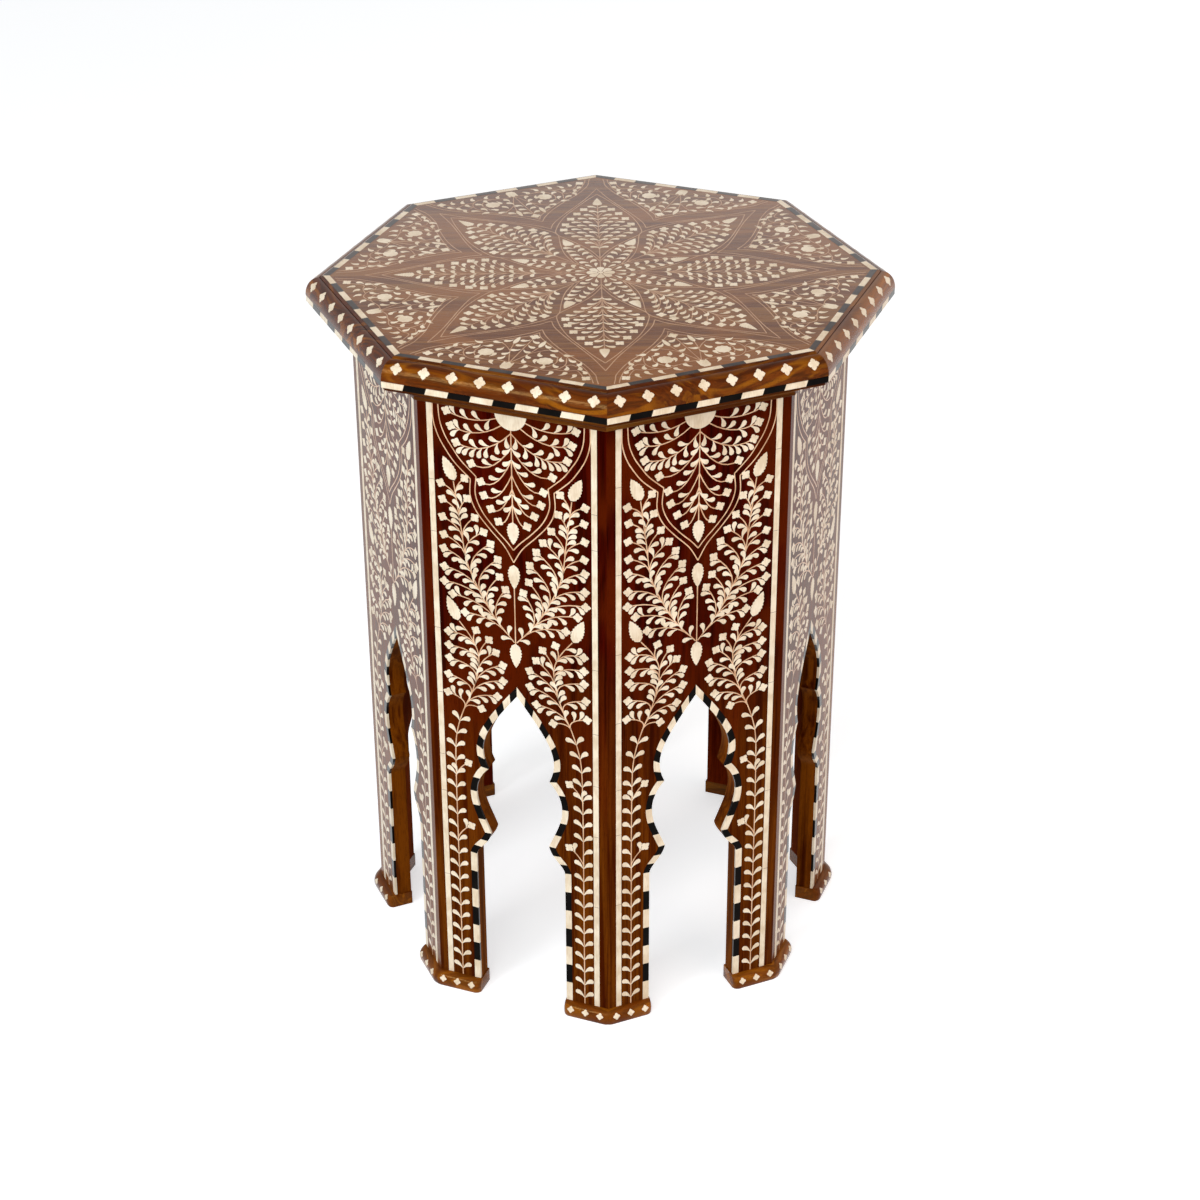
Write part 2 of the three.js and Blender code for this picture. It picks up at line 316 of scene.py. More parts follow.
def panel_shape():
    """The arch's edge and the board's outline are walked together, level with
    each other up to the upper cusp and then fanned out over the head. At each
    step a ring runs from the arch's edge over the face to the mitre, back
    behind it, and round a small arris to the arch again."""
    leg, springing, lobe, head = arch_parts()
    edge = np.concatenate([leg, springing[1:], lobe[1:], head[1:]])
    normal = normals_of(edge)
    cusp = lobe[-1, 1]
    up = np.linspace(0, 1, len(head))[1:] * (PANEL_TOP - cusp + HALF_FACE)
    fan_up = cusp + np.minimum(up, PANEL_TOP - cusp)
    fan_out = HALF_FACE - np.maximum(up - (PANEL_TOP - cusp), 0)
    corner = np.argmin(abs(fan_up - PANEL_TOP))
    fan_up[corner], fan_out[corner] = PANEL_TOP, HALF_FACE
    low = len(edge) - len(up)
    rim_out = np.append(np.full(low, HALF_FACE), fan_out)
    rim = np.stack([rim_out, np.append(edge[:low, 1], fan_up)], 1)
    reveal, arris = 0.12, 1.2
    upright = (rim[:, :1] > HALF_FACE - 0.1) * np.array([[1, 0]])
    mitre = [(0.8, 0), (0.28, 0.1), (0.3 * SLOPE, 0.3), (PANEL_THICK * SLOPE, PANEL_THICK)]
    places = [
        (edge + normal * reveal, 0),
        *((rim - upright * inwards, depth) for inwards, depth in mitre),
        (edge + normal * (reveal + arris), PANEL_THICK),
        (edge + normal * (reveal + 0.3 * arris), PANEL_THICK - 0.3 * arris),
        (edge + normal * reveal, PANEL_THICK - arris),
    ]
    half = np.stack([on_panel(place, -depth) for place, depth in places], 1)
    half[-1, :, 0] = 0
    return carried(np.concatenate([half * [-1, 1, 1], half[-2::-1]]))


panel = panel_shape()
grain = panel[0][:, [2, 0, 1]] + [0, 0, FACE]
make_round("panel", panel, panel_wood, "side_panel", grain, (913, 377, 0))

# Arch chequer bands
# Alternate slips of bone and ebony, let in along the arch's edge from the foot
# of one leg over to the other. Joints fall on the cusps, and the two slips
# that meet at the apex are ebony on the left and bone on the right.

BAND_WIDTH = 5.6
BAND_DEPTH = 2
PROUD = 0.06  # how far lacquered inlay stands off the wood
SLIPS = (7, 3, 5)  # on the leg, the springing and the lobe
LEFT_HEAD_SLIPS = 9
RIGHT_HEAD_SLIPS = 8
SLIP_STEPS = 5  # straight pieces along a slip


def inlay_finish(name, low, high, specular, rough, haze=HAZE):
    """Polished bone or ebony under lacquer: two close tones, given in screen
    numbers, in soft clouds, fine upright fibres and a slightly uneven gloss."""
    material, shader, shade, sheen = lacquered(name, {"Specular IOR Level": specular}, haze)
    place = shade.node("ShaderNodeTexCoord", {}, {}, 3)
    cloud = place.noise((70, 70, 70))
    fibre = place.noise((900, 900, 160))
    tone = (0.65 * cloud + 0.35 * fibre).between(0.36, 0.64)
    tone.mixed(colour(*low), colour(*high)).feeds(shader, "Base Color")
    sheen.feeds(shader, "Coat Weight")
    (rough + 0.1 * fibre).feeds(shader, "Roughness")
    fibre.dents(shader, 0.15, 0.0001)
    return material


bone = inlay_finish("bone", (218, 200, 172), (238, 226, 203), 0.1, 0.3, (0.3, 0.62, 0.3))
ebony = inlay_finish("ebony", (3, 2, 1), (12, 8, 6), 0.04, 0.26)
CHEQUER = [("bone", 0, bone), ("ebony", 1, ebony)]  # slot and name, first slip, finish


def trimmed(first, second):
    """Two lines cut back to where they cross, or else closed up where they
    fall just short of each other."""
    p, r = first[:-1, None], np.diff(first, axis=0)[:, None]
    q, s = second[None, :-1], np.diff(second, axis=0)[None]
    span = r[..., 0] * s[..., 1] - r[..., 1] * s[..., 0]
    gap = q - p
    t = (gap[..., 0] * s[..., 1] - gap[..., 1] * s[..., 0]) / span
    u = (gap[..., 0] * r[..., 1] - gap[..., 1] * r[..., 0]) / span
    found = np.argwhere((t >= 0) & (t <= 1) & (u >= 0) & (u <= 1))
    if len(found) == 0:
        meet = (first[-1] + second[0]) / 2
        return np.vstack([first[:-1], meet]), np.vstack([meet, second[1:]])
    i, j = found[-1]
    meet = first[i] + t[i, j] * (first[i + 1] - first[i])
    return np.vstack([first[: i + 1], meet]), np.vstack([meet, second[j + 1 :]])


def travelled(line):
    """Distance gone at each point of a line."""
    return np.append(0, np.cumsum(np.linalg.norm(np.diff(line, axis=0), axis=1)))


def at_distances(line, distances):
    """Points on a line at given distances along it."""
    gone = travelled(line)
    return np.stack([np.interp(distances, gone, line[:, k]) for k in range(2)], 1)


def evenly(line, count):
    """A line stepped evenly with so many points."""
    return at_distances(line, np.linspace(0, travelled(line)[-1], count))


def arch_slips(head_count):
    """The right half of the band as a list of slips. The outer line is the
    arch moved into the wood, cut back at the cusps and run on to the middle."""
    inner = arch_parts()
    outer = [part + normals_of(part) * BAND_WIDTH for part in inner]
    for k in range(3):
        outer[k], outer[k + 1] = trimmed(outer[k], outer[k + 1])
    end, slope = outer[3][-1], outer[3][-1] - outer[3][-2]
    outer[3] = np.vstack([outer[3], [0, end[1] - slope[1] * end[0] / slope[0]]])
    slips = []
    for near, far, count in zip(inner, outer, (*SLIPS, head_count)):
        near, far = (evenly(line, count * SLIP_STEPS + 1) for line in (near, far))
        corners = [(near, PROUD), (far, PROUD), (far, -BAND_DEPTH), (near, -BAND_DEPTH)]
        rings = np.stack([on_panel(*corner) for corner in corners], 1)
        firsts = range(0, count * SLIP_STEPS, SLIP_STEPS)
        slips += [carried(rings[k : k + SLIP_STEPS + 1]) for k in firsts]
    return slips


def mirrored(shape):
    """A shape reflected left to right, with its faces turned to suit."""
    points, faces = shape
    return points * [-1, 1, 1], [face[::-1] for face in faces]


right_slips = arch_slips(RIGHT_HEAD_SLIPS)
left_slips = [mirrored(slip) for slip in arch_slips(LEFT_HEAD_SLIPS)]
for name, first, finish in CHEQUER:
    band = joined(right_slips[first::2] + left_slips[first::2])
    make_round(f"arch_band_{name}", band, finish, "arch_chequer")

# Bone edge strips
# Two upright lines of bone strips on each panel, set in from the mitre so
# that a margin of plain wood is left at each corner. The strips are butted
# end to end at no set height, with a hairline of filler in each joint.

STRIP_INNER = 66.5
STRIP_OUTER = 71.3
STRIP_TOP = 572
STRIP_JOINTS = np.array([130, 190, 237, 306, 363, 447, 506])
JOINT_PLAY = 16
FILLER = 0.3


def strip_line(shift):
    """The right-hand line of strips as closed boxes, joints moved by a shift."""
    ends = np.concatenate([[PANEL_FOOT], STRIP_JOINTS + shift, [STRIP_TOP]])
    across = [STRIP_INNER, STRIP_OUTER, STRIP_OUTER, STRIP_INNER]
    lift = np.array([PROUD, PROUD, -BAND_DEPTH, -BAND_DEPTH])
    boxes = []
    for low, high in zip(ends[:-1], ends[1:]):
        levels = [[low + FILLER / 2], [high - FILLER / 2]]
        corners = np.stack(np.broadcast_arrays(across, levels), -1)
        boxes.append(carried(on_panel(corners, lift)))
    return joined(boxes)


luck = np.random.default_rng(11)
for side in range(SIDES):
    right, left = luck.uniform(-JOINT_PLAY, JOINT_PLAY, (2, len(STRIP_JOINTS)))
    points, faces = joined([strip_line(right), mirrored(strip_line(left))])
    make_piece(f"edge_strips_{side + 1}", (turned(points, side), faces), bone)

# Flowering vine on the panels
# Hand-cut bone let into the face: pointed leaves, four-cornered blossoms and
# notched buds on thin strip stems. A pendant hangs under the cove, two tall
# sprays rise over the arch, and two low ones from the vines up the legs.

LEAF = (10.2, 4.3)
LEG_LEAF = (11, 4.7)
LEAF_HEAD = [3, 4, 6, 7]  # points of a leaf's outline about its head
LEAF_ROOM, STEM_ROOM, BLOSSOM_ROOM, BUD_ROOM = 4.7, 2, 6.2, 6.8  # radii kept clear
FIELD = (1.9, 64.4)
BLOSSOM = 8.8
BUD_WIDTH = 10.6
STEM_WIDTH = 0.95
STEM_PROUD = PROUD - 0.02  # stems pass under what grows on them
INLAY_DEPTH = 0.6
DISC = (13.4, 14.4)
DISC_UP = 567


def plates(outlines):
    """Closed flat plates from outlines (count, n, 2) and the mirror images of
    those that lie off the middle line, as points (x, y, lift): each outline
    at two heights, a face on both and a wall between. Neighbours differ by a
    hair in height, so that no two faces lie in one plane."""
    outlines = np.array(outlines)
    aside = outlines[abs(outlines[..., 0].mean(1)) > 0.5]
    outlines = np.concatenate([outlines, aside[:, ::-1] * [-1, 1]])
    count, n, _ = outlines.shape
    points = np.empty((count, 2, n, 3))
    points[..., :2] = outlines[:, None]
    points[..., 2] = np.array([-INLAY_DEPTH, PROUD])[:, None]
    points[..., 2] -= 0.005 * (np.arange(count) % 4)[:, None, None]
    start = 2 * n * np.arange(count)[:, None]
    ring = np.arange(n)
    after = np.roll(ring, -1)
    walls = start[..., None] + np.stack([ring, after, after + n, ring + n], -1)
    faces = (start + n + ring).tolist() + (start + ring[::-1]).tolist()
    return points.reshape(-1, 3), faces + walls.reshape(-1, 4).tolist()


def strip(line, width, high):
    """A closed thin strip along a line, as points (x, y, lift). Its edges are
    the line moved half a width either way."""
    aside = normals_of(line) * width / 2
    edges = np.stack([line + aside, line - aside, line - aside, line + aside], 1)
    lift = [high, high, -INLAY_DEPTH, -INLAY_DEPTH]
    return carried(np.stack(np.broadcast_arrays(edges[..., 0], edges[..., 1], lift), -1))


def smooth_line(corners, count=26):
    """A Catmull-Rom curve through corner points, then stepped evenly."""
    p = np.array(corners, float)
    p = np.vstack([2 * p[0] - p[1], p, 2 * p[-1] - p[-2]])
    t = np.linspace(0, len(corners) - 1 - 1e-9, 12 * len(corners))
    f = (t % 1)[:, None]
    a, b, c, d = (p[t.astype(int) + k] for k in range(4))
    square = (2 * a - 5 * b + 4 * c - d) * f**2
    curve = b + 0.5 * ((c - a) * f + square + (3 * b - a - 3 * c + d) * f**3)
    return evenly(curve, count)


def bow(start, lead, end):
    """A quadratic curve that leaves its start towards the lead point."""
    t = np.linspace(0, 1, 8)[:, None]
    start, lead, end = (np.array(point, float) for point in (start, lead, end))
    return (1 - t) ** 2 * start + 2 * t * (1 - t) * lead + t**2 * end


def heading_at(line, distances):
    """Points and directions on a line at distances along it."""
    ahead = at_distances(line, distances + 0.5) - at_distances(line, distances - 0.5)
    return at_distances(line, distances), np.arctan2(ahead[:, 1], ahead[:, 0])


def towards(turn):
    """Unit vectors at turns in radians."""
    return np.stack([np.cos(turn), np.sin(turn)], -1)


def branches(stem, rows):
    """Bows that leave a stem along its own direction, up to a lead point half
    as far off as the end. A row gives the end's x and y and the height of the
    foot on the stem."""
    grown = []
    for x, y, foot in rows:
        along = np.interp(foot, stem[:, 1], travelled(stem))
        start, heading = heading_at(stem, np.array([along]))
        reach = math.hypot(x - start[0, 0], y - start[0, 1]) / 2
        grown.append(bow(start[0], start[0] + reach * towards(heading[0]), (x, y)))
    return grown


def leaves(roots, headings, sides, size, bend=(0.3, 1.0)):
    """Outlines of leaves. The middle line leaves its root close to the stem's
    heading and bends away to the given side; the half width swells from a thin
    tail to a round head three quarters along."""
    share = np.array([0, 0.3, 0.55, 0.75, 0.92, 1])
    half = np.array([0.12, 0.34, 0.76, 1, 0.8, 0]) * size[1] / 2
    turn = headings[:, None] + sides[:, None] * (bend[0] + bend[1] * share)
    step = np.diff(share, prepend=0) * size[0]
    middle = roots[:, None] + np.cumsum(towards(turn) * step[:, None], 1)
    across = np.stack([-np.sin(turn), np.cos(turn)], -1) * half[:, None]
    right, left = (middle - across)[:, 1:-1], (middle + across)[:, 1:-1]
    return np.concatenate([middle[:, :1], right, middle[:, -1:], left[:, ::-1]], 1)


def blossoms(middles, headings, size):
    """Outlines of squares on their corner with a notch in the middle of each
    side: the radius is read at six angles a quarter."""
    angle = np.radians([0, 14, 33, 45, 57, 76])
    radius = np.tile([1, 0.87, 0.76, 0.6, 0.76, 0.87], 4) * size / 2
    quarter = np.arange(4)[:, None] * np.pi / 2
    turn = np.reshape(headings, (-1, 1)) + (quarter + angle).ravel()
    return np.array(middles, float)[:, None] + towards(turn) * radius[:, None]


def buds(axes, width, swell=0.72, notches=8):
    """Outlines of buds with a round base, a pointed tip and notched edges, on
    axes from base to tip. The half width follows a sine pushed towards the
    base, with every other point drawn in a little."""
    bases, tips = np.array(axes, float).swapaxes(0, 1)
    share = np.linspace(0, 1, 2 * notches + 1)
    notch = 0.95 + 0.08 * (-1.0) ** np.arange(len(share))
    half = width / 2 * np.sin(np.pi * share**swell) ** 0.8 * notch
    axis = tips - bases
    length = np.linalg.norm(axis, axis=1, keepdims=True)
    across = np.stack([-axis[:, 1], axis[:, 0]], -1) / length
    middle = bases[:, None] + axis[:, None] * share[:, None]
    out = across[:, None] * half[:, None]
    return np.concatenate([middle - out, (middle + out)[:, -2:0:-1]], 1)


def spots(line, radius, spacing=1.2):
    """Points along a line with a radius that leaf heads must keep off."""
    count = max(3, int(travelled(line)[-1] / spacing))
    return np.column_stack([evenly(line, count), np.full(count, radius)])


def set_leaves(rows, taken, size):
    """Sets leaves one after another on the field where there is room. A row
    is lines, sides, the distance of the first leaf from a line's end, the
    spacing, and how near the start the last may come. Returns the leaves and
    all that is taken, now with the new heads."""
    rows = [(line, side, *row) for lines, sides, *row in rows for line in lines for side in sides]
    placed = []
    for line, side, first, spacing, last in rows:
        distances = np.arange(travelled(line)[-1] - first, last, -spacing)
        roots, headings = heading_at(line, distances)
        outlines = leaves(roots, headings, np.full(len(roots), side), size)
        for outline, head in zip(outlines, outlines[:, LEAF_HEAD].mean(1)):
            room = np.hypot(*(taken[:, :2] - head).T) - taken[:, 2]
            if room.min() > 0 and FIELD[0] < head[0] < FIELD[1]:
                placed.append(outline)
                taken = np.vstack([taken, [*head, LEAF_ROOM]])
    return placed, taken


def inlaid_lines(aside, middle, width):
    """Thin strips along lines that have a mirror image and along lines on the
    middle axis, each a hair lower than the one before."""
    lines = list(aside) + [line * [-1, 1] for line in aside] + list(middle)
    highs = [STEM_PROUD - 0.004 * (k % 7) for k in range(len(lines))]
    return joined([strip(line, width, high) for line, high in zip(lines, highs)])


pendant_rims = [smooth_line(corners) for corners in [
    [(66, 568), (65.8, 551.7), (62, 538), (55.3, 526), (47.8, 516), (35.5, 504.7)],
    [(35.5, 504.7), (36, 490), (31, 476.7), (20.2, 463.3), (7.7, 450), (0, 436.7)],
    [(61.3, 568), (60.2, 551.7), (56, 539), (49.3, 528), (42.7, 519), (30.5, 507.5)],
    [(30.5, 507.5), (31.5, 491.7), (26, 477.5), (16, 465), (6, 455), (0, 447.8)],
]]
pendant_stem = smooth_line([(0, 553), (0, 512), (0, 472)])
pendant = []
for x, z, end_x, end_z in [
    (12, 561, 54.3, 560.8), (8, 555.5, 51, 548.3), (0, 550, 46.8, 534.5), (0, 538, 34.3, 518.3),
    (0, 527, 26.5, 503.8), (0, 514, 24.3, 492.2), (0, 502, 18.5, 481.3), (0, 489, 12.2, 471.2),
]:
    sag = min(end_z - z, 0) - 0.16 * math.hypot(end_x - x, end_z - z) - 2
    pendant.append(bow((x, z), ((x + end_x) / 2, z + sag), (end_x, end_z)))

tall_stem = smooth_line([
    (1, 363), (17.7, 383), (31, 406), (41, 431), (45.2, 462), (48.5, 487), (50.2, 500),
])
tall_outer = branches(tall_stem, [
    (61.3, 496.7, 484), (60.2, 482.5, 467), (60.7, 466.7, 449), (60.2, 450.8, 434),
    (60.7, 438.3, 420), (60.7, 421.7, 404), (61.3, 408.3, 391), (54.3, 397.5, 380),
    (44, 382.5, 369),
])
tall_inner = branches(tall_stem, [
    (40.5, 504.2, 487), (38.8, 486.7, 468), (32.7, 470.8, 449), (25.5, 459.2, 433),
    (19.7, 449.7, 416), (13.8, 436.7, 401), (12.7, 421.2, 389), (7.7, 410.5, 376),
])
low_stem = smooth_line([
    (47.7, 290), (39.3, 310), (33.8, 330), (33.5, 346.7), (39.3, 360), (49.3, 373.3),
])
low_outer = branches(low_stem, [
    (59.3, 361.7, 350), (59.3, 348.8, 334), (59.3, 336.7, 320), (60.7, 320.8, 305),
    (61.8, 303.3, 291),
])
low_inner = branches(low_stem, [
    (34.8, 367.5, 354), (23.5, 360.8, 340), (17.7, 350, 328), (11.8, 339.2, 316),
    (11.8, 324.2, 304), (17.2, 308.3, 293), (31.8, 293.3, 290),
])
leg_stem = smooth_line([
    (57.6, 13), (57.4, 90), (57.4, 133), (57.4, 183), (57, 233), (56, 258), (52.7, 275),
    (47.7, 290),
], 50)
sprigs = [bow((57.5, 221), (54, 232), (45.5, 237)), bow((57.7, 158), (54, 168), (44.7, 173.7))]
middle_stem = np.array([[0, 413.0], [0, 390], [0, 362]])

flowered = pendant + tall_outer + tall_inner + low_outer + low_inner + sprigs
blossom_places = np.array([line[-1] for line in flowered])
blossom_turns = [heading_at(line, travelled(line)[-1:] - 0.6)[1][0] for line in flowered]
bud_axes = np.array([
    [(0, 472.8), (0, 452.8)], [(49.3, 500.8), (58.5, 520.8)], [(0, 434.5), (0, 412.5)],
    [(0, 362), (0, 339.5)], [(50.2, 373.7), (59.3, 395)],
])

stems = flowered + [tall_stem, low_stem, leg_stem]
taken = np.vstack(
    [spots(line, STEM_ROOM) for line in stems + [pendant_stem] + pendant_rims]
    + [spots(axis, BUD_ROOM, 3) for axis in bud_axes]
    + [[*place, BLOSSOM_ROOM] for place in blossom_places]
)
leg_leaves, taken = set_leaves([([leg_stem], [1, -1], 14, 13.6, 2)], taken, LEG_LEAF)
outer, inner = tall_outer + low_outer, tall_inner + low_inner
vine_leaves, taken = set_leaves([
    (pendant, [1], 9, 10.5, 7),
    (outer, [-1], 9, 9.5, 6),
    (inner, [1], 9, 9.5, 6),
    ([pendant_stem], [1], 6, 10, 2),
    ([tall_stem], [1, -1], 10, 5, 34),
    ([tall_stem[:6]], [1], 3, 30, 8),
    ([tall_stem[:3]], [1], 5, 30, 2),
    ([tall_stem[:3]], [-1], 9, 30, 2),
    ([low_stem], [1, -1], 10, 5, 16),
    (sprigs, [1, -1], 6.5, 10, 1),
    (outer, [1], 8, 5, 4),
    (inner + pendant, [-1], 8, 5, 4),
], taken, LEAF)


def ellipse(out, up, wide, high, first, last, count):
    """Points (out, up) on an ellipse between two turns in degrees."""
    return [out, up] + towards(np.radians(np.linspace(first, last, count))) * [wide, high]


vine = joined([
    plates(leg_leaves + vine_leaves),
    plates(blossoms(blossom_places, blossom_turns, BLOSSOM)),
    plates(buds(bud_axes, BUD_WIDTH)),
    plates([ellipse(0, DISC_UP, *DISC, 180, 360, 25)]),
])
stem_strips = inlaid_lines(stems + pendant_rims, [pendant_stem, middle_stem], STEM_WIDTH)
line_bone = inlay_finish("line_bone", (196, 152, 116), (230, 194, 158), 0.15, 0.3)
for name, (points, faces), finish in [("vine", vine, bone), ("stems", stem_strips, line_bone)]:
    inlay = on_panel(points[:, :2], points[:, 2]), faces
    make_round(f"panel_{name}", inlay, finish)

# Corner feet
# Eight V-shaped blocks of amber hardwood, each glued under the two legs that
# meet at a corner. The front is moulded like a half-round that draws in at
# the toe, and three small bone lozenges are let into it on either wing.

FOOT_HEIGHT = 13
FOOT_START = 39.4
FOOT_BULGE = 5.46
TOE = (6, 1.5)  # below the bulge: how far the ellipse's middle stands off the face, its width
BELLY = (1.2, 6.3)  # and above it
FOOT_END = 5.6  # radius of the rounded ends
FOOT_NOSE = 13  # radius of the rounded corner
FOOT_PALENESS = 1000  # added to the grain attribute's third number, in millimetres
FOOT_LOZENGES = (47, 60.5, 74)
FOOT_LOZENGE = 6.6
LOZENGE_PROUD = 0.12
HAIR = 0.02  # left between pieces that touch

amber_wood = wood(
    "amber_wood",
    [(54, 10, 0), (98, 40, 2), (154, 90, 10), (72, 16, 0)],
    specular=0.19,
    rough=0.16,
    patch_low=0.46,
    haze=(0.46, 0.85, 0.32),
    sway=0.1,
    pale=colour(180, 106, 22),
    # heights in metres of the darker top arris and quirk: partly stain, partly painted shade
    top=(0.6062, 0.6082),
    constants={"Specular Tint": (1, 0.62, 0.22, 1)},
)


def set_at(x, section):
    """Section points (out, up) at places x along the side that faces -Y."""
    return np.stack(np.broadcast_arrays(x, -section[..., 0], section[..., 1]), -1)


def foot_section(inset, front):
    """The foot's closed section, drawn in all round by an inset and at the
    front by so much more."""
    high, low = FOOT_HEIGHT - HAIR - inset - FOOT_BULGE, FOOT_BULGE - inset
    face, back = FACE - front, FACE - PANEL_THICK + inset
    lower = ellipse(face + TOE[0], FOOT_BULGE, TOE[1] - inset, low, -90, 0, 6)
    upper = ellipse(face + BELLY[0], FOOT_BULGE, BELLY[1] - inset, high, 0, 90, 14)
    return np.vstack([[[back, FOOT_BULGE + high], [back, inset]], lower[:-1], upper])


def foot_shape():
    """The section carried from the leg's edge to the corner's mitre and, as a
    mirror image, along the other side. The end and the mitre's front edge are
    rounded: there the front falls back by the sagitta of a circle."""
    rings = []
    for angle in np.linspace(0, np.pi / 2, 6):
        section = foot_section(0.25 * (angle == 0), 0.9 * FOOT_END * (1 - math.sin(angle)))
        rings.append(set_at(FOOT_START + FOOT_END * (1 - math.cos(angle)), section))
    reach = FOOT_NOSE * SLOPE
    for share in (1, 0.75, 0.5, 0.25, 0):
        near = reach * (1 - share)
        section = foot_section(0, FOOT_NOSE - math.sqrt(FOOT_NOSE**2 - near**2))
        rings.append(set_at(section[:, 0] * SLOPE - reach * share, section))
    return carried(np.array(rings + [turned(ring * [-1, 1, 1], 1) for ring in rings[-2::-1]]))


foot = foot_shape()
second_wing = (foot[0][:, 0] + foot[0][:, 1] * SLOPE > 0.01)[:, None]
grain = np.where(second_wing, turned(foot[0], -1) * [-1, 1, 1], foot[0]) + [0, 0, FOOT_PALENESS]
make_round("foot", foot, amber_wood, "corner_foot", grain, (517, 151, 0))


def wrapped_plates(outlines, depth, rings=3):
    """Closed plates like the flat ones, with rings of points between middle
    and outline on the upper face, so that they can follow a round surface."""
    count, n, _ = outlines.shape
    middle = outlines.mean(1, keepdims=True)
    share = np.append(np.linspace(0, 1, rings + 1)[1:], 1)[:, None, None]
    points = np.full((count, len(share) * n + 1, 3), LOZENGE_PROUD)
    spread = middle[:, None] + (outlines - middle)[:, None] * share
    points[:, :-1, :2] = spread.reshape(count, -1, 2)
    points[:, -1, :2] = middle[:, 0]
    points[:, -n - 1 : -1, 2] = -depth
    number = np.arange((rings + 1) * n).reshape(rings + 1, n)
    after = np.roll(number, -1, 1)
    walls = np.stack([number[1:], after[1:], after[:-1], number[:-1]], -1).reshape(-1, 4)
    fans = np.stack([number[0], after[0], np.full(n, (rings + 1) * n)], -1)
    start = len(points[0]) * np.arange(count)[:, None]
    faces = (start[..., None] + walls).reshape(-1, 4).tolist()
    faces += (start[..., None] + fans).reshape(-1, 3).tolist()
    return points.reshape(-1, 3), faces + (start + number[-1][::-1]).tolist()


def on_round(shape, out, up, wide, high, middle_turn):
    """A plate of points (x, y, lift) laid on an ellipse's face: y is the
    distance up the curve from a middle turn, read off its length, and lift
    stands square to it."""
    points, faces = shape
    steps = np.radians(np.linspace(-40, 100, 281))
    gone = travelled(towards(steps) * [wide, high])
    start = np.interp(math.radians(middle_turn), steps, gone)
    turn = np.interp(start + points[:, 1], gone, steps)
    face, square = towards(turn) * [wide, high], towards(turn) / [wide, high]
    square /= np.linalg.norm(square, axis=1, keepdims=True)
    return set_at(points[:, 0], face + square * points[:, 2:] + [out, up]), faces


wing = wrapped_plates(blossoms([(x, 0) for x in FOOT_LOZENGES], 0, FOOT_LOZENGE), 0.8)
wing = on_round(wing, FACE + BELLY[0], FOOT_BULGE, BELLY[1], FOOT_HEIGHT - FOOT_BULGE, 22)
points, faces = mirrored(wing)
make_round("foot_lozenges", joined([wing, (turned(points, 1), faces)]), bone)

# Glue blocks
# Plain softwood blocks behind the corner mitres, rubbed in with hide glue and
# left as sawn. They can be seen only from below.

block_wood, shader, shade = principled("block_wood", {"Specular IOR Level": 0.2})
place = shade.node("ShaderNodeTexCoord", {}, {}, 3)
sawn = place.noise((240, 240, 12), 4, 0.6, 0.4).between(0.34, 0.66)
sawn.mixed(colour(98, 62, 34), colour(132, 92, 54)).feeds(shader, "Base Color")
(0.62 + 0.1 * sawn).feeds(shader, "Roughness")
sawn.dents(shader, 0.4, 0.0003)
for side in range(SIDES):
    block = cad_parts[f"glue_block_{side + 1}"]
    block.data.materials.clear()
    block.data.materials.append(block_wood)

# Cove moulding
# Eight mitred lengths of plain brown wood that run in and down in a shallow
# hollow from under the top's edge to a lip on the panels.

BOARD_UNDER = 588
COVE_OUT = 220.8
COVE_FOOT = 566.5
COVE_LIP = FACE + 3

cove_wood = wood(
    "cove_wood",
    [(58, 20, 2), (102, 56, 12), (126, 82, 28), (80, 36, 6)],
    specular=0.03,
    rough=0.4,
    haze=(0.4, 0.8, 0.3),
)


def slips_along(section, count=1, lean=0):
    """A closed section of (out, up) points run along one side in so many
    slips: its joints are evenly spaced and lean aside by so much at each
    point, and its two ends are mitres."""
    mitre = section[:, 0] * SLOPE
    x = np.linspace(-1, 1, count + 1)[:, None] * mitre.max() + lean + 0 * mitre
    x[[0, -1]] = -mitre, mitre
    rings = set_at(x, section)
    return [carried(rings[k : k + 2]) for k in range(count)]


hollow = [(COVE_OUT, 584.7), (212, 580.5), (201, 576.5), (COVE_LIP, COVE_FOOT + 3)]
cove = slips_along(np.vstack([
    [[FACE - 0.5, BOARD_UNDER - HAIR], [FACE - 0.5, COVE_FOOT]],
    [[COVE_LIP - 0.4, COVE_FOOT], [COVE_LIP, COVE_FOOT + 0.4]],
    curve_through(hollow, 24)[::-1],
    [[COVE_OUT, BOARD_UNDER - HAIR]],
]))[0]
make_round("cove", cove, cove_wood, "cove_moulding", cove[0], (731, 97, 0))

# Edge moulding
# Eight mitred lengths of amber hardwood planted round the board. An arris
# rounds over from the top into a quirk, then a quarter-round falls to the
# chequer strip, with eight bone lozenges let into each length.

BOARD_EDGE = 209.7
ROUND_OUT = 212.9
ROUND_UP = 593.2
ROUND_WIDE = 10.95
ROUND_HIGH = 608.4 - ROUND_UP
QUIRK_IN = ROUND_OUT - 0.6
QUIRK_UP = 607.3
ARRIS = (5.2, 2)
ARRIS_UP = 608.2
REBATE_BACK = 221.6
REBATE_UP = 593.1
LOZENGE = 10
LOZENGE_SPACING = 23.1
PALENESS = (0.15, 0.1, 0.6, 0.4, 0.1, 0.5, 0.6, 0)  # of the eight lengths

